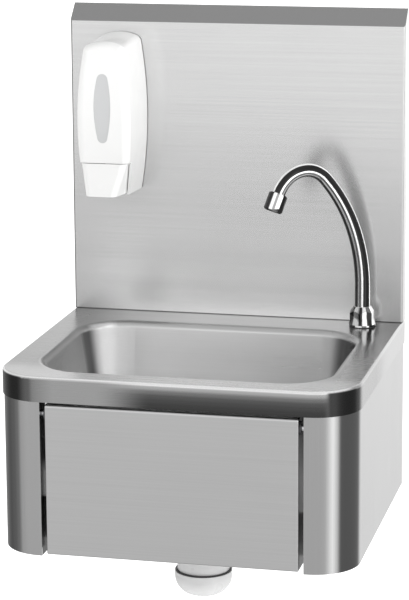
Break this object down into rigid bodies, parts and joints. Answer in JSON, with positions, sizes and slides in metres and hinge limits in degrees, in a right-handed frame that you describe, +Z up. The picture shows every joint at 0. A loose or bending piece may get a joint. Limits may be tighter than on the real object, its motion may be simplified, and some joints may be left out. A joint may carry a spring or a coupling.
{
  "type": "hand basin",
  "caption": "Wall-hung stainless hand basin with a knee panel that pushes a self-closing valve, a swivel spout, a soap dispenser on the backsplash and a bottle trap.",
  "frame": {"origin": "middle of the two wall fixing holes, on the wall plane", "axes": "+X to the right seen from the front, +Y into the wall, +Z up"},
  "size_m": [0.4, 0.35, 0.6537],
  "materials": {
    "sheet_steel": "brushed",
    "bent_steel": "mill",
    "fastener": "plain",
    "bright_chrome": "polished",
    "plated_brass": "cast, machined and nickel plated",
    "seal_rubber": "matt",
    "white_shell": "gloss",
    "window_plastic": "smooth grey",
    "clear_tank": "milky",
    "pump_plastic": "moulded",
    "trap_plastic": "moulded",
    "dark_plastic": "moulded",
    "hose_braid": "braided",
    "spring_steel": "drawn"
  },
  "bodies": {
    "basin": {"backsplash": "sheet_steel", "base_gasket": "seal_rubber", "bracket_screws": "fastener", "cross_rail": "bent_steel", "deck_and_bowl": "sheet_steel", "hinge_pins": "fastener", "hose_nuts": "plated_brass", "inlet_nipples": "plated_brass", "left_side_panel": "sheet_steel", "mixer_body": "plated_brass", "mixer_bracket": "bent_steel", "mixer_hose": "hose_braid", "pivot_pins": "fastener", "plate_screws": "fastener", "pump_body": "pump_plastic", "pump_spring": "spring_steel", "reservoir_cap": "pump_plastic", "right_side_panel": "sheet_steel", "shank_backnut": "plated_brass", "shank_washer": "fastener", "soap_back_plate": "pump_plastic", "soap_nozzle": "pump_plastic", "soap_reservoir": "clear_tank", "splash_nuts": "fastener", "splash_screws": "fastener", "spout_base": "bright_chrome", "spout_hose": "hose_braid", "spout_nut": "bright_chrome", "stop_buffers": "seal_rubber", "trap_body": "trap_plastic", "trap_cup": "trap_plastic", "trap_cup_seal": "seal_rubber", "trap_dip_tube": "trap_plastic", "trap_inlet_nut": "trap_plastic", "trap_outlet_nut": "trap_plastic", "valve_body": "plated_brass", "valve_locknut": "plated_brass", "valve_return_spring": "spring_steel", "wall_rail": "bent_steel", "waste_body": "trap_plastic", "waste_gasket": "seal_rubber", "waste_lower_gasket": "seal_rubber", "waste_pipe": "trap_plastic", "waste_screw": "fastener", "waste_strainer": "bright_chrome"},
    "knee_panel_body": {"knee_panel": "sheet_steel", "pivot_bushes": "dark_plastic", "push_pad": "seal_rubber"},
    "valve_plunger_body": {"valve_plunger": "plated_brass"},
    "mixer_knob_body": {"mixer_knob": "dark_plastic"},
    "spout_body": {"spout_tube": "bright_chrome", "spout_o_rings": "seal_rubber", "aerator_housing": "bright_chrome", "aerator_insert": "pump_plastic"},
    "soap_cover_body": {"soap_cover": "white_shell", "soap_window": "window_plastic", "lever_pins": "fastener"},
    "soap_lever_body": {"soap_lever": "white_shell"},
    "pump_plunger_body": {"pump_plunger": "pump_plastic"}
  },
  "joints": [
    {"name": "knee_pivot", "type": "hinge", "parent": "basin", "child": "knee_panel_body", "pos_m": [0, -0.338, 0.017], "axis": [1, 0, 0], "range_deg": [0, 5], "stiffness_Nm_per_rad": 12, "springref_deg": -3.44},
    {"name": "valve_slide", "type": "slide", "parent": "basin", "child": "valve_plunger_body", "axis": [0, 1, 0], "range_m": [0, 0.011], "deforming": ["valve_return_spring"]},
    {"name": "mixer_turn", "type": "hinge", "parent": "basin", "child": "mixer_knob_body", "pos_m": [0.075, -0.086, -0.13], "axis": [0, 0, 1], "range_deg": [-60, 60]},
    {"name": "spout_swivel", "type": "hinge", "parent": "basin", "child": "spout_body", "pos_m": [0.156, -0.043, 0.07], "axis": [0, 0, 1], "range_deg": [-45, 135]},
    {"name": "soap_cover_hinge", "type": "hinge", "parent": "basin", "child": "soap_cover_body", "pos_m": [-0.1385, -0.03, 0.215], "axis": [1, 0, 0], "range_deg": [0, 80]},
    {"name": "soap_lever_pivot", "type": "hinge", "parent": "soap_cover_body", "child": "soap_lever_body", "pos_m": [-0.1385, -0.073, 0.2442], "axis": [1, 0, 0], "range_deg": [0, 9], "stiffness_Nm_per_rad": 1, "springref_deg": -2.86},
    {"name": "pump_slide", "type": "slide", "parent": "basin", "child": "pump_plunger_body", "axis": [0, 1, 0], "range_m": [0, 0.0032], "deforming": ["pump_spring"]}
  ],
  "couplings": [
    {"joint": "valve_slide", "follows": "knee_pivot", "m_per_rad": 0.124},
    {"joint": "pump_slide", "follows": "soap_lever_pivot", "m_per_rad": 0.0202}
  ]
}
